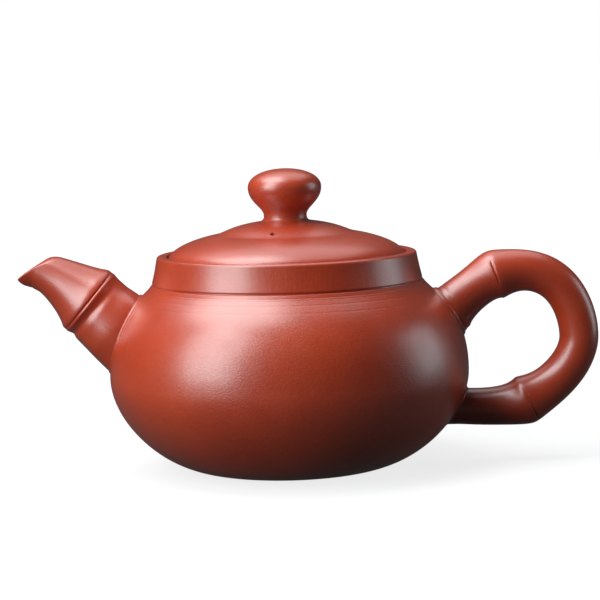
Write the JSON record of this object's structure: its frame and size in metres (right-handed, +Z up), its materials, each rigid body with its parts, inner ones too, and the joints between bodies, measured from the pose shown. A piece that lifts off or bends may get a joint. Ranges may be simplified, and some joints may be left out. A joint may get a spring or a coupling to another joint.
{
  "type": "teapot",
  "caption": "Round low red-clay teapot with an upright collar, a domed lift-off lid with a mushroom knob, and a spout and loop handle shaped like jointed bamboo.",
  "frame": {"origin": "centre of the standing ring, on the plane that the pot stands on", "axes": "+Z up along the axis of the pot, +X to the handle, the spout on -X"},
  "size_m": [0.1498, 0.0926, 0.077],
  "materials": {
    "burnished_clay": "burnished satin, unglazed red stoneware",
    "tooled_clay": "tooled satin, unglazed red stoneware",
    "unburnished_clay": "matt as fired, unglazed red stoneware"
  },
  "bodies": {
    "pot": {"base_disc": "unburnished_clay", "belly_wall": "burnished_clay", "shoulder_disc": "burnished_clay", "collar_ring": "burnished_clay", "lid_seat_ring": "unburnished_clay", "spout_strainer": "unburnished_clay", "spout_root": "burnished_clay", "spout_joint_ring": "tooled_clay", "spout_tip": "burnished_clay", "spout_seam": "tooled_clay", "handle_upper_section": "burnished_clay", "handle_upper_joint": "tooled_clay", "handle_bow": "burnished_clay", "handle_lower_joint": "tooled_clay", "handle_lower_section": "burnished_clay", "handle_upper_seam": "tooled_clay", "handle_lower_seam": "tooled_clay"},
    "lid": {"lid_plate": "burnished_clay", "lid_flange": "unburnished_clay", "lid_knob": "burnished_clay", "knob_foot_coil": "tooled_clay"}
  },
  "joints": [
    {"name": "lid_lift", "type": "slide", "parent": "pot", "child": "lid", "axis": [0, 0, 1], "range_m": [0, 0.06]}
  ]
}
